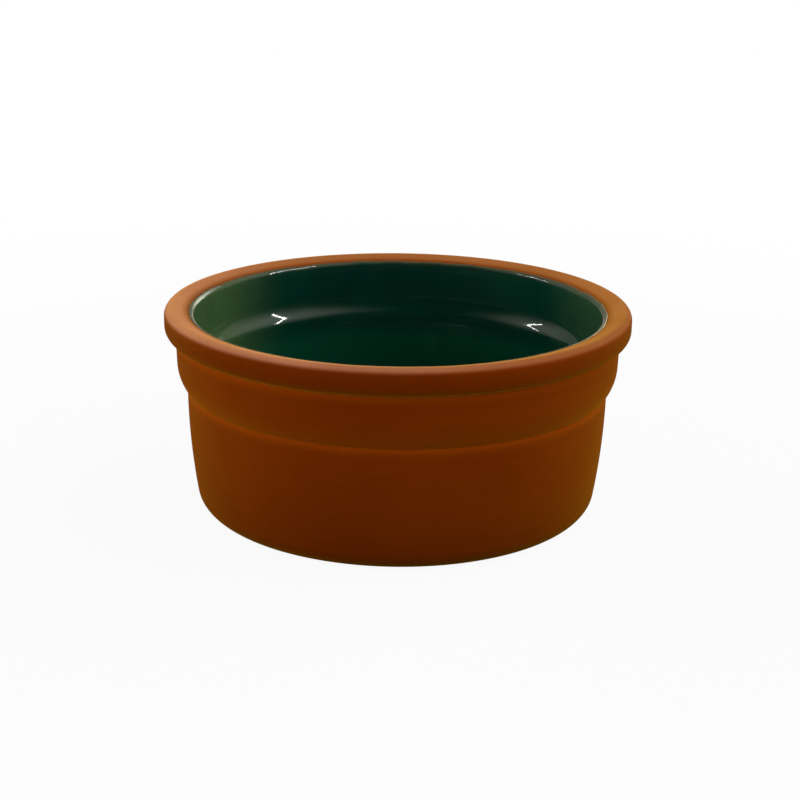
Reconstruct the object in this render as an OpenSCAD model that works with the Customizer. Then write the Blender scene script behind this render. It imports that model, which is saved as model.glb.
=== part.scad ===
// Terracotta ramekin with a green glaze inside. Millimetres, +Z up, and the
// origin at the middle of the foot, on the table. One outline is turned about
// Z for the clay, and a thin one that lies on it for the glaze.

/* [Overall] */
// Diameter over the rim
rim_d = 120; // [100:1:160]
// Height over the rim
height = 53; // [46:1:80]
// Thickness of the side wall
wall_t = 4.7; // [3.5:0.1:6]
// Thickness of the floor, above the hollow of the foot
floor_t = 4.8; // [3.5:0.1:7]

/* [Rim] */
// Height of the rim, from its neck to its crest
rim_h = 7.6; // [6:0.1:10]
// How far the rim stands out past its neck
rim_overhang = 2.8; // [2:0.1:4]
// Radius of the crest's outer edge
rim_out_r = 1.9; // [0.5:0.1:2.2]
// Radius of the crest's inner edge
rim_in_r = 2.5; // [0.6:0.1:3]
// Angle at which the crest falls towards the inside
rim_slope = 16; // [0:1:20]
// Radius of the curve under the rim's outer face
rim_lip_r = 2.9; // [1.5:0.1:4]
// Angle at which that curve ends, from the outer face
rim_lip_angle = 60; // [45:1:60]

/* [Band] */
// Height of the band, from the rim's neck to the step
band_h = 13.4; // [10:0.1:17]
// Lean of the band from upright, wider at the top
band_lean = 2; // [1:0.5:6]
// How far the wall steps in below the band
band_step = 2.55; // [1.5:0.05:4]
// Radius of the curve that rounds the band in to the step
band_under_r = 11.5; // [6:0.5:15]

/* [Belly and foot] */
// How far the wall draws in from the step down to the table
belly_in = 2.9; // [1:0.1:6]
// Radius of the corner between the wall and the foot
base_r = 5.3; // [3:0.1:9]
// Width of the ring that the ramekin stands on
foot_w = 6.5; // [4:0.1:10]
// Depth of the hollow inside that ring
foot_recess = 0.8; // [0.4:0.1:1.5]

/* [Inside] */
// Radius between the wall and the floor
cove_r = 10; // [5:0.5:14]
// Height of the ledge's upper end over the step outside
ledge_up = 10.3; // [9:0.1:12]
// Radius of the hollow curve that starts there
ledge_r = 7; // [5:0.1:9]
// Radius of the shoulder under it
shoulder_r = 2.8; // [1.5:0.1:4]

/* [Glaze] */
// Thickness of the glaze
glaze_t = 0.4; // [0.2:0.1:0.8]
// Angle by which the glaze reaches round the crest's inner edge
glaze_wrap = 40; // [5:5:60]

/* [Hidden] */

// Steps of an arc in an outline, and of the long curve of the belly
arc_steps = 8;
belly_steps = 16;
// Facets round the axis
turn_steps = 144;
// Points nearer than this are taken as one
same_point = 0.001;

// Outside heights and radii, from the rim down
rim_r = rim_d / 2;
neck_r = rim_r - rim_overhang;
neck_z = height - rim_h;
step_z = neck_z - band_h;
band_end = acos(cos(band_lean) - band_step / band_under_r);
band_z = step_z + band_under_r * (sin(band_end) - sin(band_lean));
band_r = neck_r - tan(band_lean) * (neck_z - band_z);
step_r = band_r - band_step;

// Centres of the rim's two outer curves
lip_run = (rim_overhang - rim_lip_r * (1 - cos(rim_lip_angle))) / sin(rim_lip_angle);
lip_z = neck_z + rim_lip_r * sin(rim_lip_angle) + lip_run * cos(rim_lip_angle);
crest_out = [rim_r - rim_out_r, height - rim_out_r];

// The belly is one long arc, upright at the step
belly_r = (step_z * step_z + belly_in * belly_in) / (2 * belly_in);
belly_c = [step_r - belly_r, step_z];
base_c = tucked(belly_r, base_r, base_r);
ring_r = base_c[0] - foot_w;

// The inside keeps the wall's thickness from the outside
floor_z = foot_recess + floor_t;
cove_c = tucked(belly_r - wall_t, cove_r, floor_z + cove_r);
inner_r = step_r - wall_t;
inner_a = 180 - band_lean;
inner_d = wall_t - along([neck_r, neck_z], -band_lean);
ledge_z = step_z + ledge_up;
ledge_top = [(inner_d - ledge_z * sin(inner_a)) / cos(inner_a), ledge_z];
ledge_c = ledge_top - ledge_r * unit(-band_lean);
ledge_a = acos((inner_r + shoulder_r - ledge_c[0]) / (ledge_r + shoulder_r));
shoulder_c = ledge_c + (ledge_r + shoulder_r) * unit(-ledge_a);

// The crest's inner edge rounds the sloping top into the inner wall
crest_a = 90 + rim_slope;
crest_d = along(crest_out, crest_a) + rim_out_r;
crest_in = crossing(crest_a, crest_d - rim_in_r, inner_a, inner_d - rim_in_r);
glaze_a = inner_a - glaze_wrap;

// Direction at an angle, and a point's distance along it
function unit(a) = [cos(a), sin(a)];
function along(p, a) = p * unit(a);

// Where two lines cross, each given by its normal's angle and its distance
function crossing(a1, d1, a2, d2) =
    [d1 * sin(a2) - d2 * sin(a1), d2 * cos(a1) - d1 * cos(a2)] / sin(a2 - a1);

// Points of an arc from one angle to another
function arc(c, r, from, to, steps = arc_steps) =
    [for (i = [0 : steps]) c + r * unit(from + (to - from) * i / steps)];

// Centre at height z of a corner of radius r inside a belly arc of radius big
function tucked(big, r, z) =
    [belly_c[0] + sqrt(pow(big - r, 2) - pow(step_z - z, 2)), z];

// Angle at which such a corner runs into the belly arc
function tucked_angle(c) = atan2(c[1] - belly_c[1], c[0] - belly_c[0]);

function reversed(p) = [for (i = [len(p) - 1 : -1 : 0]) p[i]];
function merged(p) =
    [for (i = [0 : len(p) - 1]) if (i == 0 || norm(p[i] - p[i - 1]) > same_point) p[i]];

// Outside of the clay, from the axis under the foot up to the neck
function outside() = concat(
    [[0, foot_recess], [ring_r - foot_recess, foot_recess], [ring_r, 0]],
    arc(base_c, base_r, -90, tucked_angle(base_c)),
    arc(belly_c, belly_r, tucked_angle(base_c), 0, belly_steps),
    arc([band_r - band_under_r * cos(band_lean), band_z + band_under_r * sin(band_lean)],
        band_under_r, -band_end, -band_lean),
    [[neck_r, neck_z]]);

// Rim, from under its outer face over the crest to the glaze's edge
function rim() = concat(
    arc([rim_r - rim_lip_r, lip_z], rim_lip_r, -rim_lip_angle, 0),
    arc(crest_out, rim_out_r, 0, 90),
    [crest_out + rim_out_r * unit(crest_a)],
    arc(crest_in, rim_in_r, crest_a, glaze_a));

// Inside, from the axis at the floor up to the glaze's edge, t in from the clay
function lining(t) = concat(
    [[0, floor_z + t]],
    arc(cove_c, cove_r - t, -90, tucked_angle(cove_c)),
    arc(belly_c, belly_r - wall_t - t, tucked_angle(cove_c), 0, belly_steps),
    arc(shoulder_c, shoulder_r + t, 180, 180 - ledge_a),
    arc(ledge_c, ledge_r - t, -ledge_a, -band_lean),
    arc(crest_in, rim_in_r + t, inner_a, glaze_a));

// Rounded upper end of the glaze, from the clay to the glaze's own face
function glaze_end() =
    arc(crest_in + (rim_in_r + glaze_t / 2) * unit(glaze_a), glaze_t / 2,
        glaze_a - 180, glaze_a);

module turned(outline) {
    rotate_extrude($fn = turn_steps)
        polygon(merged(outline));
}

module terracotta_body() {
    color([0.72, 0.39, 0.19])
        turned(concat(outside(), rim(), reversed(lining(0))));
}

module glaze_lining() {
    color([0.07, 0.24, 0.15])
        turned(concat(lining(0), glaze_end(), reversed(lining(glaze_t))));
}

terracotta_body();
glaze_lining();
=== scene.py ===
"""Terracotta ramekin: bare clay outside, green glaze inside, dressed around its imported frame."""

import logging
import math
from dataclasses import dataclass, field
from enum import Enum
from typing import Callable

import bmesh
import bpy
from mathutils import Matrix, Vector, noise


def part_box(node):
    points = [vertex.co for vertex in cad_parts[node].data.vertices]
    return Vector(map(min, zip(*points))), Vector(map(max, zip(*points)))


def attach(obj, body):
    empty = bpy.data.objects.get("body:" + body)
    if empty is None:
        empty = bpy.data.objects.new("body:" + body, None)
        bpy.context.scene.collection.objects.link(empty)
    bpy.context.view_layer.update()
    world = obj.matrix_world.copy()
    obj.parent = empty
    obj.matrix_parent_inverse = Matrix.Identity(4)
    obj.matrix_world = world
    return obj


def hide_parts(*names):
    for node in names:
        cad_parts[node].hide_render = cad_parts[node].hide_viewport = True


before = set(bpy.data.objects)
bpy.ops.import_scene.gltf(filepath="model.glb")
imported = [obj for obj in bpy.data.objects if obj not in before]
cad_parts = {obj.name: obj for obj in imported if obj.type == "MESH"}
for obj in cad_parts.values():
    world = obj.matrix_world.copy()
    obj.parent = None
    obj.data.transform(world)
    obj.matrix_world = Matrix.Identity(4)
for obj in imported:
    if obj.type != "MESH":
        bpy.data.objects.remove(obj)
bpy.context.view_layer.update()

MM = 0.001
SAME_POINT = MM / 1000
QUARTER = math.pi / 2
RIGHT = Vector((1.0, 0.0, 0.0))
LEFT = Vector((-1.0, 0.0, 0.0))
BACK = Vector((0.0, 1.0, 0.0))
UP = Vector((0.0, 0.0, 1.0))
BODY = "root"
PHOTO_PX = 800
SENSOR = 36.0

# A linear colour and its alpha
Colour = tuple[float, float, float, float]
# Two ends of a range
Span = tuple[float, float]
# A range and the one that it is carried to: from low, from high, to low, to high
Ramp = tuple[float, float, float, float]

# Where most values of a noise lie
NOISE_SPAN: Span = (0.3, 0.7)

log = logging.getLogger("ramekin")


class Slot(Enum):
    """The record's material slots."""

    TERRACOTTA = "terracotta"
    GREEN_GLAZE = "green_glaze"


class Node(Enum):
    """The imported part's nodes."""

    BODY = "terracotta_body"
    LINING = "glaze_lining"


class Mark(Enum):
    """Values that a piece carries on its points, for its shape or its finish."""

    RIM = "rim"
    CREASE = "crease"
    # Painted shade: darker clay at the foot and on the rim's face, where shade falls
    PAINTED_SHADE = "painted_shade"
    THIN = "thin"
    FREE = "free"
    ALONG = "along"
    OFF = "off"


def unit(angle: float) -> Vector:
    """Direction at an angle in the plane of the section."""
    return Vector((math.cos(angle), math.sin(angle)))


def crossing(a1: float, d1: float, a2: float, d2: float) -> Vector:
    """Where two lines of the section cross.

    Args:
        a1: Angle of the first line's normal.
        d1: Distance of the first line from the origin, along its normal.
        a2: Angle of the second line's normal.
        d2: Distance of the second line from the origin, along its normal.

    Returns:
        The point that lies on both lines.
    """
    det = math.sin(a2 - a1)
    return Vector((
        (d1 * math.sin(a2) - d2 * math.sin(a1)) / det,
        (d2 * math.cos(a1) - d1 * math.cos(a2)) / det,
    ))


def smoothstep(value: float, low: float, high: float) -> float:
    """Soft step from 0 at low to 1 at high."""
    t = min(max((value - low) / (high - low), 0.0), 1.0)
    return t * t * (3.0 - 2.0 * t)


def hump(value: float, width: float) -> float:
    """Soft peak of height 1 at 0, which has died away by two widths."""
    return math.exp(-((value / width) ** 2))


class Outline:
    """Points of a section, laid one after another, with runs and arcs cut into short steps."""

    LEAST_ARC_STEPS = 3

    def __init__(self, run: float, chord: float) -> None:
        """Starts an empty outline.

        Args:
            run: Longest step along a straight stretch.
            chord: Longest step along an arc.
        """
        self.run = run
        self.chord = chord
        self.points: list[Vector] = []

    def add(self, point: Vector) -> None:
        """Adds one point, unless the last one already lies there."""
        if not self.points or (point - self.points[-1]).length > SAME_POINT:
            self.points.append(point)

    def to(self, *corners: Vector) -> "Outline":
        """Runs straight to each corner in turn.

        Args:
            corners: The corners, in order.

        Returns:
            This outline.
        """
        for corner in corners:
            if self.points:
                start = self.points[-1].copy()
                steps = max(1, math.ceil((corner - start).length / self.run))
                for i in range(1, steps):
                    self.add(start.lerp(corner, i / steps))
            self.add(Vector(corner))
        return self

    def arc(self, centre: Vector, radius: float, start: float, end: float) -> "Outline":
        """Follows an arc, with a straight run to where it starts.

        Args:
            centre: The arc's centre.
            radius: The arc's radius.
            start: Angle at which it starts.
            end: Angle at which it ends.

        Returns:
            This outline.
        """
        self.to(centre + radius * unit(start))
        steps = max(self.LEAST_ARC_STEPS, math.ceil(abs(end - start) * radius / self.chord))
        for i in range(1, steps + 1):
            self.add(centre + radius * unit(start + (end - start) * i / steps))
        return self


@dataclass(frozen=True)
class Section:
    """Sizes of the turned section, in metres and radians, and the places that follow from them.

    They are the driving sizes of the part's source. The rim and the height come from the frame.
    """

    rim_r: float
    height: float
    wall_t: float = 4.7 * MM
    floor_t: float = 4.8 * MM
    rim_h: float = 7.6 * MM
    rim_overhang: float = 2.8 * MM
    rim_out_r: float = 1.9 * MM
    rim_in_r: float = 2.5 * MM
    rim_slope: float = math.radians(16)
    rim_lip_r: float = 2.9 * MM
    rim_lip_angle: float = math.radians(60)
    band_h: float = 13.4 * MM
    band_lean: float = math.radians(2)
    band_step: float = 2.55 * MM
    band_under_r: float = 11.5 * MM
    belly_in: float = 2.9 * MM
    base_r: float = 5.3 * MM
    foot_w: float = 6.5 * MM
    foot_recess: float = 0.8 * MM
    cove_r: float = 10 * MM
    ledge_up: float = 10.3 * MM
    ledge_r: float = 7 * MM
    shoulder_r: float = 2.8 * MM
    glaze_t: float = 0.4 * MM
    glaze_wrap: float = math.radians(40)

    @property
    def neck(self) -> Vector:
        """Corner between the rim and the band."""
        return Vector((self.rim_r - self.rim_overhang, self.height - self.rim_h))

    @property
    def step_z(self) -> float:
        """Height of the step between the band and the belly."""
        return self.neck.y - self.band_h

    @property
    def band_end(self) -> float:
        """Angle through which the band has turned in at the step."""
        return math.acos(math.cos(self.band_lean) - self.band_step / self.band_under_r)

    @property
    def band_low(self) -> Vector:
        """Where the band's straight run ends and its curve begins.

        Returns:
            The point of the section.
        """
        turn = math.sin(self.band_end) - math.sin(self.band_lean)
        z = self.step_z + self.band_under_r * turn
        return Vector((self.neck.x - math.tan(self.band_lean) * (self.neck.y - z), z))

    @property
    def step_r(self) -> float:
        """Radius of the belly at the step."""
        return self.band_low.x - self.band_step

    @property
    def belly_r(self) -> float:
        """Radius of the belly's long curve."""
        return (self.step_z ** 2 + self.belly_in ** 2) / (2 * self.belly_in)

    @property
    def belly_c(self) -> Vector:
        """Centre of the belly's long curve."""
        return Vector((self.step_r - self.belly_r, self.step_z))

    @property
    def base_c(self) -> Vector:
        """Centre of the corner between the belly and the foot."""
        return self.tucked(self.belly_r, self.base_r, self.base_r)

    @property
    def ring_r(self) -> float:
        """Inner radius of the ring that the ramekin stands on."""
        return self.base_c.x - self.foot_w

    @property
    def floor_z(self) -> float:
        """Height of the clay's floor."""
        return self.foot_recess + self.floor_t

    @property
    def cove_c(self) -> Vector:
        """Centre of the cove between the wall and the floor."""
        return self.tucked(self.belly_r - self.wall_t, self.cove_r, self.floor_z + self.cove_r)

    @property
    def inner_a(self) -> float:
        """Angle of the upper inside wall's normal."""
        return math.pi - self.band_lean

    @property
    def inner_d(self) -> float:
        """Distance of the upper inside wall along its normal."""
        return self.wall_t - self.neck.dot(unit(-self.band_lean))

    @property
    def ledge_c(self) -> Vector:
        """Centre of the ledge's upper curve.

        Returns:
            The point of the section.
        """
        z = self.step_z + self.ledge_up
        r = (self.inner_d - z * math.sin(self.inner_a)) / math.cos(self.inner_a)
        return Vector((r, z)) - self.ledge_r * unit(-self.band_lean)

    @property
    def ledge_a(self) -> float:
        """Angle at which the ledge's two curves meet."""
        run = self.step_r - self.wall_t + self.shoulder_r - self.ledge_c.x
        return math.acos(run / (self.ledge_r + self.shoulder_r))

    @property
    def shoulder_c(self) -> Vector:
        """Centre of the ledge's lower curve."""
        return self.ledge_c + (self.ledge_r + self.shoulder_r) * unit(-self.ledge_a)

    @property
    def lip_z(self) -> float:
        """Height at which the rim's outer face starts to turn under.

        Returns:
            The height in metres.
        """
        drop = self.rim_lip_r * (1 - math.cos(self.rim_lip_angle))
        run = (self.rim_overhang - drop) / math.sin(self.rim_lip_angle)
        turn = self.rim_lip_r * math.sin(self.rim_lip_angle)
        return self.neck.y + turn + run * math.cos(self.rim_lip_angle)

    @property
    def crest_a(self) -> float:
        """Angle of the sloping crest's normal."""
        return QUARTER + self.rim_slope

    @property
    def crest_out(self) -> Vector:
        """Centre of the crest's outer edge."""
        return Vector((self.rim_r - self.rim_out_r, self.height - self.rim_out_r))

    @property
    def crest_in(self) -> Vector:
        """Centre of the crest's inner edge."""
        crest_d = self.crest_out.dot(unit(self.crest_a)) + self.rim_out_r
        return crossing(self.crest_a, crest_d - self.rim_in_r,
                        self.inner_a, self.inner_d - self.rim_in_r)

    def tucked(self, big: float, corner: float, z: float) -> Vector:
        """Centre of a corner that runs smoothly into a curve about the belly's centre.

        Args:
            big: Radius of the curve.
            corner: Radius of the corner.
            z: Height of the corner's centre.

        Returns:
            The corner's centre.
        """
        reach = math.sqrt((big - corner) ** 2 - (self.step_z - z) ** 2)
        return Vector((self.belly_c.x + reach, z))

    def tucked_angle(self, centre: Vector) -> float:
        """Angle at which such a corner meets the curve."""
        return math.atan2(centre.y - self.belly_c.y, centre.x - self.belly_c.x)

    def outside(self, out: Outline) -> Outline:
        """Lays the clay's outside, from the axis under the foot over the crest to the inner wall.

        Args:
            out: The outline to lay it on.

        Returns:
            The outline.
        """
        band_c = self.band_low - self.band_under_r * unit(-self.band_lean)
        out.to(Vector((0.0, self.foot_recess)),
               Vector((self.ring_r - self.foot_recess, self.foot_recess)),
               Vector((self.ring_r, 0.0)))
        out.arc(self.base_c, self.base_r, -QUARTER, self.tucked_angle(self.base_c))
        out.arc(self.belly_c, self.belly_r, self.tucked_angle(self.base_c), 0.0)
        out.arc(band_c, self.band_under_r, -self.band_end, -self.band_lean)
        out.to(self.neck)
        out.arc(Vector((self.rim_r - self.rim_lip_r, self.lip_z)),
                self.rim_lip_r, -self.rim_lip_angle, 0.0)
        out.arc(self.crest_out, self.rim_out_r, 0.0, self.crest_a)
        return out.arc(self.crest_in, self.rim_in_r, self.crest_a, self.inner_a)

    def inside(self, out: Outline, t: float) -> Outline:
        """Lays the inside, from the axis at the floor up to the crest's inner edge.

        Args:
            out: The outline to lay it on.
            t: How far in from the clay it lies.

        Returns:
            The outline.
        """
        out.to(Vector((0.0, self.floor_z + t)))
        cove_end = self.tucked_angle(self.cove_c)
        out.arc(self.cove_c, self.cove_r - t, -QUARTER, cove_end)
        out.arc(self.belly_c, self.belly_r - self.wall_t - t, cove_end, 0.0)
        out.arc(self.shoulder_c, self.shoulder_r + t, math.pi, math.pi - self.ledge_a)
        out.arc(self.ledge_c, self.ledge_r - t, -self.ledge_a, -self.band_lean)
        return out.to(self.crest_in + (self.rim_in_r + t) * unit(self.inner_a))


@dataclass(frozen=True)
class Edge:
    """Places near the crest's inner edge: how far along the clay, and how far off it."""

    centre: Vector
    radius: float
    wall_a: float
    crest_a: float

    def place(self, along: float, off: float) -> Vector:
        """Point of the section at a place on the edge.

        Args:
            along: Distance along the clay, 0 where the wall ends and the rounding starts.
            off: Distance off the clay.

        Returns:
            The point.
        """
        turn = min(max(along / self.radius, 0.0), self.wall_a - self.crest_a)
        angle = self.wall_a - turn
        past = along - turn * self.radius
        return self.centre + (self.radius + off) * unit(angle) + past * unit(angle - QUARTER)

    def find(self, point: Vector) -> tuple[float, float]:
        """Place on the edge of a point of the section.

        Args:
            point: The point, on the wall or round the edge.

        Returns:
            Its distances along the clay and off it.
        """
        arm = point - self.centre
        up = arm.dot(unit(self.wall_a - QUARTER))
        if up <= 0.0:
            return up, arm.dot(unit(self.wall_a)) - self.radius
        turn = self.wall_a - math.atan2(arm.y, arm.x)
        return turn * self.radius, arm.length - self.radius


@dataclass(frozen=True)
class Unevenness:
    """How the fired piece strays from a true turned form. It only ever draws in or down."""

    rim_drop: float = 0.34 * MM
    low_side: float = math.radians(135)
    out_of_round: float = 0.12 * MM
    long_axis: float = math.radians(35)
    trim: float = 0.03 * MM
    settle: float = 0.02 * MM

    def moved(self, co: Vector, rim_r: float, height: float) -> Vector:
        """Where a point of the true form ends up.

        Args:
            co: The point.
            rim_r: The rim's radius.
            height: The rim's height.

        Returns:
            The moved point.
        """
        share = smoothstep(co.z, 0.0, height)
        angle = math.atan2(co.y, co.x)
        reach = min(math.hypot(co.x, co.y) / rim_r, 1.0)
        oval = self.out_of_round * (0.5 + 0.5 * math.cos(2 * (angle - self.long_axis)))
        scale = 1.0 - (self.trim + oval * share) / rim_r
        side = (0.5 + 0.5 * math.cos(angle - self.low_side)) ** 2
        drop = (self.rim_drop * side * reach + self.settle) * share
        return Vector((co.x * scale, co.y * scale, co.z - drop))


class Graph:
    """Nodes of a material or the world, with short calls to add and join them."""

    # A colour mix's sockets go by number, because their names repeat
    MIX_INPUTS = (0, 6, 7)
    MIX_RESULT = 2
    # How far a turning line strays as it runs round, as a share of the place
    RING_STRAY = (0.012, 0.012, 0.0)

    def __init__(self, tree: bpy.types.NodeTree) -> None:
        """Empties the tree and keeps it."""
        self.tree = tree
        tree.nodes.clear()

    def add(self, kind: str, sockets: dict | None = None, **settings: object) -> bpy.types.Node:
        """Adds a node.

        Args:
            kind: The node's type.
            sockets: Input sockets by name or number, each with a value or an output to join.
            settings: The node's own settings.

        Returns:
            The node.
        """
        node = self.tree.nodes.new(kind)
        for name, value in settings.items():
            setattr(node, name, value)
        for name, value in (sockets or {}).items():
            if isinstance(value, bpy.types.NodeSocket):
                self.tree.links.new(value, node.inputs[name])
            else:
                node.inputs[name].default_value = value
        return node

    def coords(self) -> bpy.types.NodeSocket:
        """The piece's own coordinates, in metres."""
        return self.add("ShaderNodeTexCoord").outputs["Object"]

    def mark(self, mark: Mark) -> bpy.types.NodeSocket:
        """A value that the piece carries on its points."""
        return self.add("ShaderNodeAttribute", attribute_name=mark.value).outputs["Fac"]

    def noise(self, where: bpy.types.NodeSocket, size: float, detail: float = 3.0,
              rough: float = 0.5) -> bpy.types.NodeSocket:
        """Soft noise from 0 to 1.

        Args:
            where: The coordinates.
            size: Size of its blotches in metres.
            detail: How many finer layers it has.
            rough: How strong those are.

        Returns:
            The noise's value.
        """
        node = self.add("ShaderNodeTexNoise", {
            "Vector": where, "Scale": 1.0 / size, "Detail": detail, "Roughness": rough})
        return node.outputs["Fac"]

    def ranged(self, value: bpy.types.NodeSocket, low: float, high: float, to_low: float = 0.0,
               to_high: float = 1.0, shape: str = "SMOOTHSTEP") -> bpy.types.NodeSocket:
        """A value carried from one range to another and held there.

        Args:
            value: The value.
            low: Where the first range starts, which may be its upper end.
            high: Where the first range ends.
            to_low: What low becomes.
            to_high: What high becomes.
            shape: How it runs between them.

        Returns:
            The carried value.
        """
        sockets = {"Value": value, "From Min": low, "From Max": high,
                   "To Min": to_low, "To Max": to_high}
        return self.add("ShaderNodeMapRange", sockets, interpolation_type=shape).outputs["Result"]

    def facing(self, way: bpy.types.NodeSocket, towards: Vector) -> bpy.types.NodeSocket:
        """How far a direction, or a place in metres, lies along another direction."""
        sockets = {0: way, 1: towards.normalized()}
        return self.add("ShaderNodeVectorMath", sockets, operation="DOT_PRODUCT").outputs["Value"]

    def total(self, first: bpy.types.NodeSocket,
              *others: bpy.types.NodeSocket) -> bpy.types.NodeSocket:
        """The sum of some values.

        Args:
            first: The first value.
            others: The values that are added to it.

        Returns:
            The sum.
        """
        for other in others:
            first = self.math("ADD", first, other)
        return first

    def math(self, operation: str, *values: object) -> bpy.types.NodeSocket:
        """The result of a sum on one or two values."""
        return self.add("ShaderNodeMath", dict(enumerate(values)), operation=operation).outputs[0]

    def mixed(self, share: bpy.types.NodeSocket | float, first: object, second: object,
              blend: str = "MIX") -> bpy.types.NodeSocket:
        """Two colours mixed.

        Args:
            share: How much of the second colour.
            first: A colour or an output.
            second: A colour or an output.
            blend: How they are mixed.

        Returns:
            The mixed colour.
        """
        node = self.add("ShaderNodeMix", data_type="RGBA", blend_type=blend)
        for number, value in zip(self.MIX_INPUTS, (share, first, second)):
            if isinstance(value, bpy.types.NodeSocket):
                self.tree.links.new(value, node.inputs[number])
            else:
                node.inputs[number].default_value = value
        return node.outputs[self.MIX_RESULT]

    def rings(self, where: bpy.types.NodeSocket, size: float) -> bpy.types.NodeSocket:
        """Noise that runs round the axis, as a turning tool leaves it.

        Args:
            where: The coordinates.
            size: Spacing of the lines in metres.

        Returns:
            The noise's value.
        """
        split = self.add("ShaderNodeSeparateXYZ", {0: where})
        flat = self.add("ShaderNodeCombineXYZ", {0: split.outputs[0], 1: split.outputs[1]})
        reach = self.add("ShaderNodeVectorMath", {0: flat.outputs[0]}, operation="LENGTH")
        profile = self.add("ShaderNodeCombineXYZ", {
            0: reach.outputs["Value"], 2: split.outputs[2]})
        stray = self.add("ShaderNodeVectorMath", {0: where, 1: self.RING_STRAY},
                         operation="MULTIPLY")
        placed = self.add("ShaderNodeVectorMath", {0: profile.outputs[0], 1: stray.outputs[0]})
        return self.noise(placed.outputs[0], size, detail=4.0, rough=0.6)

    def bump(self, height: bpy.types.NodeSocket, depth: float,
             under: bpy.types.NodeSocket | None = None) -> bpy.types.NodeSocket:
        """A bumped normal.

        Args:
            height: The relief from 0 to 1.
            depth: Its depth in metres.
            under: A normal that it is laid over.

        Returns:
            The normal.
        """
        sockets: dict = {"Height": height, "Distance": depth, "Strength": 1.0}
        if under is not None:
            sockets["Normal"] = under
        return self.add("ShaderNodeBump", sockets).outputs["Normal"]

    def surface(self, shader: bpy.types.NodeSocket) -> None:
        """Joins a shader to the material's output."""
        self.add("ShaderNodeOutputMaterial", {"Surface": shader})


def new_material(name: str) -> tuple[bpy.types.Material, Graph]:
    """Makes an empty material.

    Args:
        name: Its name.

    Returns:
        The material and its nodes.
    """
    made = bpy.data.materials.new(name)
    made.use_nodes = True
    return made, Graph(made.node_tree)


@dataclass(frozen=True)
class ClayFinish:
    """Bare fired clay, matt: a paler crest with a painted highlight on one side, paler creases
    with painted light over them, painted shade at the foot and the rim's face.
    """

    name: str = "fired_clay"
    colour: Colour = (0.270, 0.0370, 0.0005, 1.0)
    deep: Colour = (0.248, 0.0320, 0.0004, 1.0)
    # Painted shade at the foot and on the rim's face
    painted_shade: Colour = (0.165, 0.0170, 0.0003, 1.0)
    painted_shade_share: float = 0.5
    rim: Colour = (0.470, 0.138, 0.046, 1.0)
    # Painted highlight: the crest is paler still towards one side, where more light falls
    rim_painted_highlight: Colour = (0.700, 0.262, 0.130, 1.0)
    painted_highlight_side: Vector = Vector((-0.87, -0.50, 0.0))
    painted_highlight_from: Span = (-10 * MM, 58 * MM)
    # Painted light: paler clay along the creases and up the undersides over them, where shade
    # falls
    crease_painted_light: Colour = (0.450, 0.072, 0.001, 1.0)
    crease_painted_light_share: float = 0.75
    speck: Colour = (0.450, 0.160, 0.060, 1.0)
    cloud_size: float = 22 * MM
    cloud_span: Span = (0.35, 0.68)
    rim_patches: Ramp = (0.2, 0.6, 0.75, 1.0)
    speck_size: float = 0.7 * MM
    speck_share: Ramp = (0.70, 0.78, 0.0, 0.15)
    grain_size: float = 0.55 * MM
    grain_shade: Span = (-0.05, 0.05)
    grain_depth: float = 0.035 * MM
    ring_size: float = 1.6 * MM
    ring_shade: Span = (0.97, 1.03)
    ring_depth: float = 0.05 * MM
    roughness: Span = (0.80, 0.95)
    specular: float = 0.01
    sheen: float = 0.27
    sheen_rough: float = 0.5
    sheen_tint: Colour = (1.0, 0.61, 0.02, 1.0)

    def material(self) -> bpy.types.Material:
        """Builds the material.

        Returns:
            The material.
        """
        made, graph = new_material(self.name)
        where = graph.coords()
        cloud = graph.noise(where, self.cloud_size)
        grain = graph.noise(where, self.grain_size, detail=4.0, rough=0.65)
        rings = graph.rings(where, self.ring_size)
        colour = graph.mixed(graph.ranged(cloud, *self.cloud_span), self.deep, self.colour)
        # Painted shade at the foot and on the rim's face
        painted_shade = graph.math("MULTIPLY", graph.mark(Mark.PAINTED_SHADE), self.painted_shade_share)
        colour = graph.mixed(painted_shade, colour, self.painted_shade)
        rim = graph.math("MULTIPLY", graph.mark(Mark.RIM), graph.ranged(cloud, *self.rim_patches))
        # Painted highlight on the crest towards one side
        side = graph.ranged(graph.facing(where, self.painted_highlight_side), *self.painted_highlight_from)
        colour = graph.mixed(rim, colour, graph.mixed(side, self.rim, self.rim_painted_highlight))
        # Painted light along the creases and on the undersides over them
        crease_painted_light = graph.math("MULTIPLY", graph.mark(Mark.CREASE), self.crease_painted_light_share)
        colour = graph.mixed(crease_painted_light, colour, self.crease_painted_light)
        specks = graph.noise(where, self.speck_size, detail=1.0)
        colour = graph.mixed(graph.ranged(specks, *self.speck_share), colour, self.speck)
        shade = graph.math("ADD", graph.ranged(grain, *NOISE_SPAN, *self.grain_shade),
                           graph.ranged(rings, *NOISE_SPAN, *self.ring_shade))
        scaled = graph.add("ShaderNodeVectorMath", {0: colour, "Scale": shade}, operation="SCALE")
        relief = graph.bump(rings, self.ring_depth)
        relief = graph.bump(grain, self.grain_depth, relief)
        shader = graph.add("ShaderNodeBsdfPrincipled", {
            "Base Color": scaled.outputs[0],
            "Roughness": graph.ranged(grain, *NOISE_SPAN, *self.roughness),
            "Specular IOR Level": self.specular,
            "Sheen Weight": self.sheen,
            "Sheen Roughness": self.sheen_rough,
            "Sheen Tint": self.sheen_tint,
            "Normal": relief})
        graph.surface(shader.outputs[0])
        return made


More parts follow.
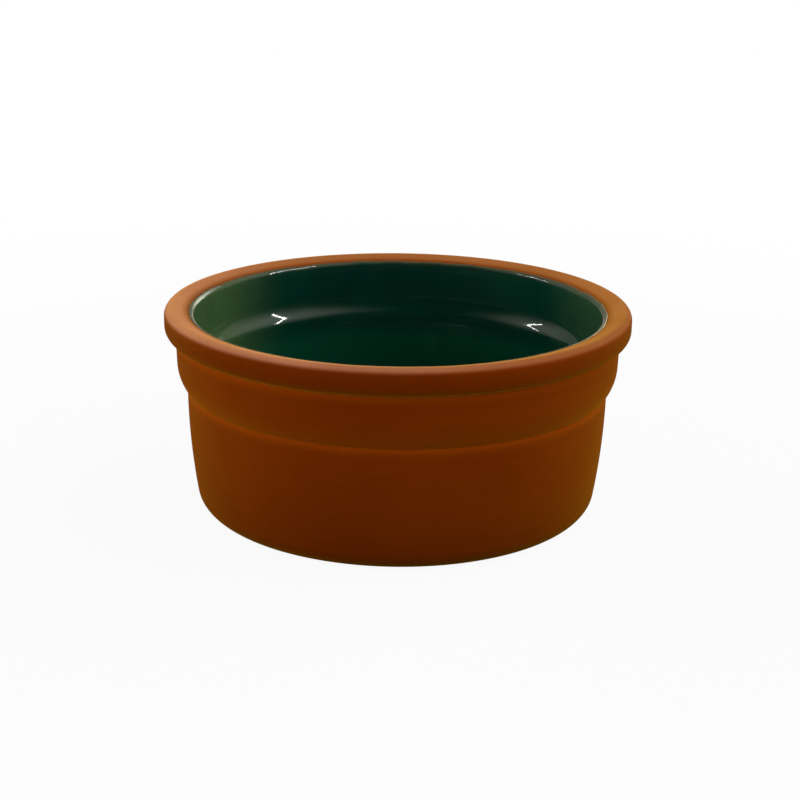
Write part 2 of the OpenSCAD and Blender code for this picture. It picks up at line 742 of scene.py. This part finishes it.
@dataclass(frozen=True)
class GlazeFinish:
    """Glossy green glaze: deep where it pooled, olive with painted light on the walls at two
    sides, thin at its edge.
    """

    name: str = "green_glaze"
    colour: Colour = (0.0020, 0.0400, 0.0250, 1.0)
    pooled: Colour = (0.0014, 0.0330, 0.0210, 1.0)
    lower: Colour = (0.0025, 0.0760, 0.0380, 1.0)
    lower_from: Span = (36 * MM, 29 * MM)
    # Painted light: the upper walls at the left and the right turn a lighter olive, where more
    # light falls on them
    olive: Colour = (0.0600, 0.1200, 0.0400, 1.0)
    thin: Colour = (0.150, 0.104, 0.038, 1.0)
    painted_light_left: Ramp = (-30 * MM, -51 * MM, 0.0, 1.0)
    painted_light_right: Ramp = (38 * MM, 54 * MM, 0.0, 0.45)
    painted_light_up: Span = (14 * MM, 34 * MM)
    cloud_size: float = 14 * MM
    cloud_span: Span = (0.35, 0.65)
    painted_light_patches: Ramp = (0.3, 0.6, 0.8, 1.0)
    speck_size: float = 0.5 * MM
    thin_patches: Ramp = (0.25, 0.6, 0.6, 1.0)
    wave_size: float = 5 * MM
    wave_depth: float = 0.02 * MM
    roughness: Span = (0.04, 0.08)
    ior: float = 1.5

    def material(self) -> bpy.types.Material:
        """Builds the material.

        Returns:
            The material.
        """
        made, graph = new_material(self.name)
        where = graph.coords()
        cloud = graph.noise(where, self.cloud_size, detail=4.0)
        speck = graph.noise(where, self.speck_size, detail=2.0)
        height = graph.facing(where, UP)
        colour = graph.mixed(graph.ranged(cloud, *self.cloud_span), self.pooled, self.colour)
        colour = graph.mixed(graph.ranged(height, *self.lower_from), colour, self.lower)
        # Painted light on the walls at two sides
        across = graph.facing(where, RIGHT)
        side = graph.math("ADD", graph.ranged(across, *self.painted_light_left),
                          graph.ranged(across, *self.painted_light_right))
        wall = graph.math("MULTIPLY", graph.ranged(height, *self.painted_light_up),
                          graph.ranged(cloud, *self.painted_light_patches))
        colour = graph.mixed(graph.math("MULTIPLY", side, wall), colour, self.olive)
        thin = graph.math("MULTIPLY", graph.mark(Mark.THIN),
                          graph.ranged(speck, *self.thin_patches))
        colour = graph.mixed(thin, colour, self.thin)
        relief = graph.bump(graph.noise(where, self.wave_size, detail=2.0), self.wave_depth)
        shader = graph.add("ShaderNodeBsdfPrincipled", {
            "Base Color": colour,
            "Roughness": graph.ranged(cloud, *NOISE_SPAN, *self.roughness),
            "IOR": self.ior,
            "Normal": relief})
        graph.surface(shader.outputs[0])
        return made


@dataclass
class TurnedPiece:
    """What the clay and the glaze share: an outline spun about the axis, then made uneven."""

    section: Section
    uneven: Unevenness
    name: str = ""
    node: Node = Node.BODY
    slot: Slot = Slot.TERRACOTTA
    segments: int = 240
    crease_angle: float = math.radians(28)

    def outline(self) -> Outline:
        """Lays the section that is spun."""
        raise NotImplementedError

    def marks(self) -> dict[Mark, Callable[[Vector], float]]:
        """The values that the piece carries, each worked out from a point of the section."""
        raise NotImplementedError

    def finish(self) -> bpy.types.Material:
        """The piece's material."""
        raise NotImplementedError

    def shape(self, bm: bmesh.types.BMesh) -> None:
        """Shapes the turned form before it is made uneven."""

    def build(self) -> bpy.types.Object:
        """Spins the marked outline, shapes it and puts it on its body.

        Returns:
            The finished piece.
        """
        bm = bmesh.new()
        layers = {mark: bm.verts.layers.float.new(mark.value) for mark in self.marks()}
        points = []
        for p in self.outline().points:
            point = bm.verts.new((p.x, 0.0, p.y))
            for mark, rule in self.marks().items():
                point[layers[mark]] = rule(p)
            points.append(point)
        edges = [bm.edges.new(pair) for pair in zip(points, points[1:])]
        bmesh.ops.spin(bm, geom=points + edges, cent=(0, 0, 0), axis=(0, 0, 1), dvec=(0, 0, 0),
                       angle=2 * math.pi, steps=self.segments, use_merge=True)
        bmesh.ops.remove_doubles(bm, verts=bm.verts, dist=SAME_POINT)
        bmesh.ops.recalc_face_normals(bm, faces=bm.faces)
        self.shape(bm)
        for vert in bm.verts:
            vert.co = self.uneven.moved(vert.co, self.section.rim_r, self.section.height)
        mesh = bpy.data.meshes.new(self.name)
        bm.to_mesh(mesh)
        bm.free()
        mesh.shade_smooth()
        mesh.set_sharp_from_angle(angle=self.crease_angle)
        mesh.materials.append(self.finish())
        piece = bpy.data.objects.new(self.name, mesh)
        bpy.context.scene.collection.objects.link(piece)
        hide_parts(self.node.value)
        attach(piece, BODY)
        log.info("%s: %d points, %d faces", self.name, len(mesh.vertices), len(mesh.polygons))
        return piece


@dataclass
class ClayBody(TurnedPiece):
    """The bare clay: foot, belly, band and rim, with its inside under the glaze."""

    name: str = "clay_body"
    shown_steps: Span = (1.2 * MM, 0.45 * MM)
    hidden_steps: Span = (6 * MM, 1.5 * MM)
    rim_from: Span = (1.35 * MM, 0.5 * MM)
    crease_w: float = 1.4 * MM
    # How far the painted light reaches up the underside over each crease: share and width
    under: tuple[Span, Span] = ((1.0, 2.0 * MM), (0.8, 4.5 * MM))
    # Where the painted shade lies: up from the foot and around the middle of the rim's face
    foot_h: float = 18 * MM
    face_drop: float = 4.0 * MM
    face_w: float = 2.2 * MM
    shoulder_in: float = 0.22 * MM
    shoulder_h: float = 0.9 * MM
    shoulder_w: float = 1.0 * MM

    def outline(self) -> Outline:
        """Lays the outside up to the crest, then the inside back down to the axis.

        Returns:
            The outline.
        """
        out = self.section.outside(Outline(*self.shown_steps))
        for point in out.points:
            point.x -= self.shoulder(point)
        hidden = self.section.inside(Outline(*self.hidden_steps), 0.0)
        for point in reversed(hidden.points):
            out.add(point)
        return out

    def shoulder(self, point: Vector) -> float:
        """How far the clay is drawn in, so that a small shoulder lies under each crease.

        Args:
            point: A point of the outside.

        Returns:
            How far it is drawn in there.
        """
        for top in self.creases():
            below = top.y - point.y
            if point.x > top.x - self.shoulder_w and 0.0 <= below < self.shoulder_h:
                return self.shoulder_in * (1.0 - below / self.shoulder_h)
        return 0.0

    def creases(self) -> tuple[Vector, Vector]:
        """The corners under the rim and under the band."""
        return self.section.neck, Vector((self.section.step_r, self.section.step_z))

    def marks(self) -> dict[Mark, Callable[[Vector], float]]:
        """Where the rim's crest is, where the creases are paler with painted light over them, and
        where painted shade darkens the foot and the rim's face.

        Returns:
            The rule for each.
        """
        section = self.section

        def rim(point: Vector) -> float:
            """How far up the rounding of the crest a point lies."""
            low, high = (section.height - drop for drop in self.rim_from)
            return smoothstep(point.y, low, high)

        def crease(point: Vector) -> float:
            """How near a crease a point lies, with a softer reach of painted light on the
            underside over it.

            Args:
                point: A point of the section.

            Returns:
                1 in the crease, dying away to 0.
            """
            near = 0.0
            for corner, (share, width) in zip(self.creases(), self.under):
                gap = (point - corner).length
                over = share * hump(gap, width) if point.y > corner.y else 0.0
                near = max(near, hump(gap, self.crease_w), over)
            return near

        def painted_shade(point: Vector) -> float:
            """How much painted shade a point takes, near the foot or the middle of the rim's face.
            """
            foot = 1.0 - smoothstep(point.y, 0.0, self.foot_h)
            return max(foot, hump(section.height - self.face_drop - point.y, self.face_w))

        return {Mark.RIM: rim, Mark.CREASE: crease, Mark.PAINTED_SHADE: painted_shade}

    def finish(self) -> bpy.types.Material:
        """Bare fired clay."""
        return ClayFinish().material()


@dataclass
class GlazeLining(TurnedPiece):
    """The glaze: a skin on the clay's inside that ends in a wandering, slightly raised edge."""

    name: str = "glaze_coat"
    node: Node = Node.LINING
    slot: Slot = Slot.GREEN_GLAZE
    segments: int = 360
    back_steps: Span = (3 * MM, 1.2 * MM)
    back_edge_chord: float = 0.2 * MM
    shown_steps: Span = (1.6 * MM, 0.6 * MM)
    shown_edge_run: float = 0.8 * MM
    waves: tuple[Span, ...] = ((2.2, 0.30 * MM), (7.0, 0.20 * MM), (22.0, 0.12 * MM))
    wave_reach: float = 7 * MM
    reach_on: float = 0.60 * MM
    taper: float = 1.3 * MM
    taper_steps: int = 14
    bead: float = 0.40
    bead_back: float = 1.2 * MM
    bead_w: float = 0.7 * MM
    thin_w: float = 0.75 * MM
    seed: float = 4.0
    edge: Edge = field(init=False)

    def __post_init__(self) -> None:
        """Works out where the crest's inner edge runs."""
        section = self.section
        self.edge = Edge(section.crest_in, section.rim_in_r, section.inner_a, section.crest_a)

    @property
    def end(self) -> float:
        """How far along the clay the glaze reaches, past the wall's end."""
        return self.section.glaze_wrap * self.section.rim_in_r

    def outline(self) -> Outline:
        """Lays the face on the clay, then the face that shows, which thins out to the end.

        Returns:
            The outline.
        """
        section = self.section
        back = section.inside(Outline(*self.back_steps), 0.0)
        back.chord = self.back_edge_chord
        wrap_end = section.inner_a - section.glaze_wrap
        back.arc(section.crest_in, section.rim_in_r, section.inner_a, wrap_end)
        shown = section.inside(Outline(*self.shown_steps), section.glaze_t)
        shown.run = self.shown_edge_run
        for i in range(self.taper_steps + 1):
            turn = QUARTER * i / self.taper_steps
            behind = self.taper * (1.0 - math.sin(turn))
            shown.to(self.edge.place(self.end - behind, section.glaze_t * math.cos(turn)))
        for point in reversed(shown.points):
            back.add(point)
        return back

    def marks(self) -> dict[Mark, Callable[[Vector], float]]:
        """Where the glaze is thin, and where and how far its edge may wander.

        Returns:
            The rule for each.
        """
        def along(point: Vector) -> float:
            """How far along the clay a point lies."""
            return self.edge.find(point)[0]

        def off(point: Vector) -> float:
            """How far off the clay a point lies, with the bead behind the edge."""
            place, out = self.edge.find(point)
            return out * (1.0 + self.bead * hump(self.end - self.bead_back - place, self.bead_w))

        def thin(point: Vector) -> float:
            """How near the glaze's edge a point lies."""
            return hump(max(self.end - along(point), 0.0), self.thin_w)

        def free(point: Vector) -> float:
            """How much of the edge's wandering a point takes part in."""
            return smoothstep(along(point), -self.wave_reach, self.end)

        return {Mark.THIN: thin, Mark.FREE: free, Mark.ALONG: along, Mark.OFF: off}

    def shape(self, bm: bmesh.types.BMesh) -> None:
        """Lets the edge wander along the clay, and thickens the glaze just behind it.

        Args:
            bm: The turned form, with its marks.
        """
        layers = bm.verts.layers.float
        marks = (Mark.FREE, Mark.ALONG, Mark.OFF)
        free, along, off = (layers[mark.value] for mark in marks)
        lift = Vector((0.0, 0.0, self.seed))
        for vert in bm.verts:
            if vert[free] > 0.0:
                way = Vector((vert.co.x, vert.co.y, 0.0)).normalized()
                wander = sum(size * noise.noise(way * rate + lift) for rate, size in self.waves)
                reach = vert[free] * (self.reach_on + wander)
                point = self.edge.place(vert[along] + reach, vert[off])
                vert.co = (way.x * point.x, way.y * point.x, point.y)
        for mark in marks:
            layers.remove(layers[mark.value])

    def finish(self) -> bpy.types.Material:
        """Glossy green glaze."""
        return GlazeFinish().material()


@dataclass(frozen=True)
class StripLight:
    """A long narrow lamp that shows only in gloss, given by the directions of its two ends."""

    name: str
    high: Vector
    low: Vector
    radiance: float
    width: float
    distance: float = 0.9

    def build(self, target: Vector) -> None:
        """Hangs the lamp so that it faces the target.

        Args:
            target: The point that the lamp faces.
        """
        top = target + self.distance * self.high.normalized()
        foot = target + self.distance * self.low.normalized()
        middle = (top + foot) / 2
        facing = (middle - target).normalized()
        along = (top - foot).normalized()
        along = (along - along.dot(facing) * facing).normalized()
        length = (top - foot).length
        lamp = bpy.data.lights.new(self.name, "AREA")
        lamp.shape = "RECTANGLE"
        lamp.size = self.width
        lamp.size_y = length
        lamp.energy = self.radiance * math.pi * self.width * length
        hung = bpy.data.objects.new(self.name, lamp)
        turn = Matrix((along.cross(facing), along, facing)).transposed()
        hung.matrix_world = Matrix.Translation(middle) @ turn.to_4x4()
        hung.visible_camera = False
        hung.visible_diffuse = False
        bpy.context.scene.collection.objects.link(hung)


class Tier(Enum):
    """Which part of a side of the room glows."""

    LOW = (1.0, 0.0)
    HIGH = (0.0, 1.0)


@dataclass(frozen=True)
class Glow:
    """A soft bright side of the room, low down or high up, that lights matt surfaces."""

    towards: Vector
    tier: Tier
    level: float
    reach: Span = (0.08, 0.78)
    rise: Span = (0.1, 0.7)

    def light(self, graph: Graph, way: bpy.types.NodeSocket) -> bpy.types.NodeSocket:
        """How bright it is in a direction.

        Args:
            graph: The world's nodes.
            way: The direction.

        Returns:
            The light's strength.
        """
        side = graph.ranged(graph.facing(way, self.towards), *self.reach, 0.0, self.level)
        height = graph.ranged(graph.facing(way, UP), *self.rise, *self.tier.value)
        return graph.math("MULTIPLY", side, height)


@dataclass(frozen=True)
class Softbox:
    """A round soft light as the glaze mirrors it, brightest at its middle."""

    towards: Vector
    level: float
    edge: float
    falloff: float = 4.0

    def light(self, graph: Graph, way: bpy.types.NodeSocket) -> bpy.types.NodeSocket:
        """How bright it is in a direction.

        Args:
            graph: The world's nodes.
            way: The direction.

        Returns:
            The light's strength.
        """
        near = graph.ranged(graph.facing(way, self.towards), self.edge, 1.0, shape="LINEAR")
        return graph.math("MULTIPLY", graph.math("POWER", near, self.falloff), self.level)


@dataclass(frozen=True)
class Studio:
    """White ground and backdrop, soft light from the sides and the back, and a dark near side."""

    floor_side: float = 40.0
    floor_drop: float = 0.02 * MM
    floor_glow: float = 0.93
    floor_near: Span = (0.12, 0.40)
    floor_white: Colour = (0.92, 0.92, 0.92, 1.0)
    # Painted shadow: the ground throws back almost no light near the ramekin
    bounce_painted_shadow: Colour = (0.02, 0.02, 0.02, 1.0)
    bounce_far: Colour = (0.34, 0.34, 0.34, 1.0)
    bounce_from: Span = (0.09, 0.20)
    white: Colour = (1.0, 1.0, 1.0, 1.0)
    mirrored_tint: Colour = (1.0, 1.02, 0.84, 1.0)
    glows: tuple[Glow, ...] = (
        Glow(RIGHT, Tier.HIGH, 2.10),
        Glow(RIGHT, Tier.LOW, 0.90),
        Glow(LEFT, Tier.LOW, 2.50),
        Glow(LEFT, Tier.HIGH, 0.30),
        Glow(BACK, Tier.LOW, 1.50),
    )
    softboxes: tuple[Softbox, ...] = (
        Softbox(Vector((0.646, 0.058, 0.761)), 1.16, 0.425),
        Softbox(Vector((-0.755, 0.207, 0.623)), 0.75, 0.66),
        Softbox(Vector((0.40, 0.87, 0.28)), 3.5, 0.95, 1.5),
    )
    backdrop_pale: Ramp = (0.10, 0.50, 0.0, 0.24)
    backdrop_white: Ramp = (0.70, 0.95, 0.0, 0.76)
    backdrop_top: Ramp = (0.02, 0.12, 1.0, 0.0)
    backdrop_side: Ramp = (-0.20, 0.15, 0.4, 1.0)
    backdrop_tint: Colour = (0.90, 1.0, 1.0, 1.0)
    lamps: tuple[StripLight, ...] = (
        StripLight("lamp_right", high=Vector((0.292, 0.221, 0.930)),
                   low=Vector((0.889, -0.033, 0.456)), radiance=80.0, width=0.012),
        StripLight("lamp_left", high=Vector((-0.531, 0.221, 0.818)),
                   low=Vector((-0.840, 0.254, 0.480)), radiance=80.0, width=0.009),
    )

    def gloss(self, path: bpy.types.Node, graph: Graph) -> bpy.types.NodeSocket:
        """1 for what is seen in gloss or glass, else 0."""
        glass = path.outputs["Is Transmission Ray"]
        return graph.math("MAXIMUM", path.outputs["Is Glossy Ray"], glass)

    def world(self) -> None:
        """Lights the scene from the sides and the back, before a white backdrop."""
        made = bpy.data.worlds.new("studio")
        made.use_nodes = True
        bpy.context.scene.world = made
        graph = Graph(made.node_tree)
        path = graph.add("ShaderNodeLightPath")
        way = graph.add("ShaderNodeTexCoord").outputs["Generated"]
        matt = graph.total(*(glow.light(graph, way) for glow in self.glows))
        across = graph.facing(way, RIGHT)
        behind = graph.facing(way, BACK)
        height = graph.facing(way, UP)
        backdrop = graph.math("MULTIPLY", graph.ranged(behind, *self.backdrop_white),
                              graph.ranged(height, *self.backdrop_top))
        backdrop = graph.math("MULTIPLY", backdrop, graph.ranged(across, *self.backdrop_side))
        mirrored = graph.total(*(box.light(graph, way) for box in self.softboxes),
                               graph.ranged(behind, *self.backdrop_pale), backdrop)
        gloss = self.gloss(path, graph)
        light = graph.add("ShaderNodeMix", {0: gloss, 2: matt, 3: mirrored})
        tint = graph.mixed(backdrop, self.mirrored_tint, self.backdrop_tint)
        room = graph.add("ShaderNodeBackground", {
            "Color": graph.mixed(gloss, self.white, tint), "Strength": light.outputs[0]})
        white = graph.add("ShaderNodeBackground", {"Color": self.white})
        mixed = graph.add("ShaderNodeMixShader", {
            0: path.outputs["Is Camera Ray"], 1: room.outputs[0], 2: white.outputs[0]})
        graph.add("ShaderNodeOutputWorld", {"Surface": mixed.outputs[0]})

    def floor(self) -> None:
        """Lays the ground, pale to the eye, with the ramekin's shadow, and a painted shadow near
        it in the light it throws back.
        """
        made, graph = new_material("ground")
        path = graph.add("ShaderNodeLightPath")
        seen = graph.math("MAXIMUM", path.outputs["Is Camera Ray"], self.gloss(path, graph))
        length = graph.add("ShaderNodeVectorMath", {0: graph.coords()}, operation="LENGTH")
        reach = length.outputs["Value"]
        glow = graph.ranged(reach, *self.floor_near, self.floor_glow, 1.0)
        # Painted shadow: the bounce is dark near the ramekin and lighter farther out
        far = graph.ranged(reach, *self.bounce_from)
        thrown = graph.mixed(far, self.bounce_painted_shadow, self.bounce_far)
        bounce = graph.add("ShaderNodeBsdfDiffuse", {"Color": thrown})
        pale = graph.add("ShaderNodeBsdfDiffuse", {"Color": self.floor_white})
        white = graph.add("ShaderNodeEmission", {"Strength": 1.0})
        shown = graph.add("ShaderNodeMixShader", {
            0: glow, 1: pale.outputs[0], 2: white.outputs[0]})
        mixed = graph.add("ShaderNodeMixShader", {
            0: seen, 1: bounce.outputs[0], 2: shown.outputs[0]})
        graph.surface(mixed.outputs[0])
        bm = bmesh.new()
        bmesh.ops.create_grid(bm, x_segments=1, y_segments=1, size=self.floor_side / 2)
        bmesh.ops.translate(bm, verts=bm.verts, vec=(0, 0, -self.floor_drop))
        mesh = bpy.data.meshes.new("ground")
        bm.to_mesh(mesh)
        bm.free()
        mesh.materials.append(made)
        ground = bpy.data.objects.new("ground", mesh)
        bpy.context.scene.collection.objects.link(ground)

    def build(self, target: Vector) -> None:
        """Sets up the ground, the backdrop and the lamps.

        Args:
            target: The point that the lamps face.
        """
        self.world()
        self.floor()
        for lamp in self.lamps:
            lamp.build(target)
        bpy.context.scene.view_settings.view_transform = "Standard"


@dataclass(frozen=True)
class PhotoCamera:
    """The photograph's camera, as fitted to the ramekin's outline and creases."""

    place: Vector = Vector((0.0, -0.41738, 0.16075))
    pitch: float = math.radians(17.817)
    yaw: float = math.radians(0.111)
    roll: float = math.radians(0.812)
    focal_px: float = 1670.5

    def build(self) -> None:
        """Makes the camera and gives it to the scene."""
        ahead = Vector((math.sin(self.yaw) * math.cos(self.pitch),
                        math.cos(self.yaw) * math.cos(self.pitch), -math.sin(self.pitch)))
        level = Vector((math.cos(self.yaw), -math.sin(self.yaw), 0.0))
        upright = level.cross(ahead)
        right = math.cos(self.roll) * level + math.sin(self.roll) * upright
        up = math.cos(self.roll) * upright - math.sin(self.roll) * level
        lens = bpy.data.cameras.new("photo_camera")
        lens.sensor_width = SENSOR
        lens.lens = self.focal_px / PHOTO_PX * SENSOR
        lens.clip_start = MM
        camera = bpy.data.objects.new("photo_camera", lens)
        turn = Matrix((right, up, -ahead)).transposed()
        camera.matrix_world = Matrix.Translation(self.place) @ turn.to_4x4()
        bpy.context.scene.collection.objects.link(camera)
        bpy.context.scene.camera = camera


def main() -> None:
    """Builds the ramekin, the studio and the camera, and reports each piece."""
    logging.basicConfig(level=logging.INFO, format="%(name)s: %(message)s")
    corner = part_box(Node.BODY.value)[1]
    section = Section(rim_r=corner[0], height=corner[2])
    uneven = Unevenness()
    ClayBody(section, uneven).build()
    GlazeLining(section, uneven).build()
    Studio().build(Vector((0.0, 0.0, section.height / 2)))
    PhotoCamera().build()


if __name__ == "__main__":
    main()
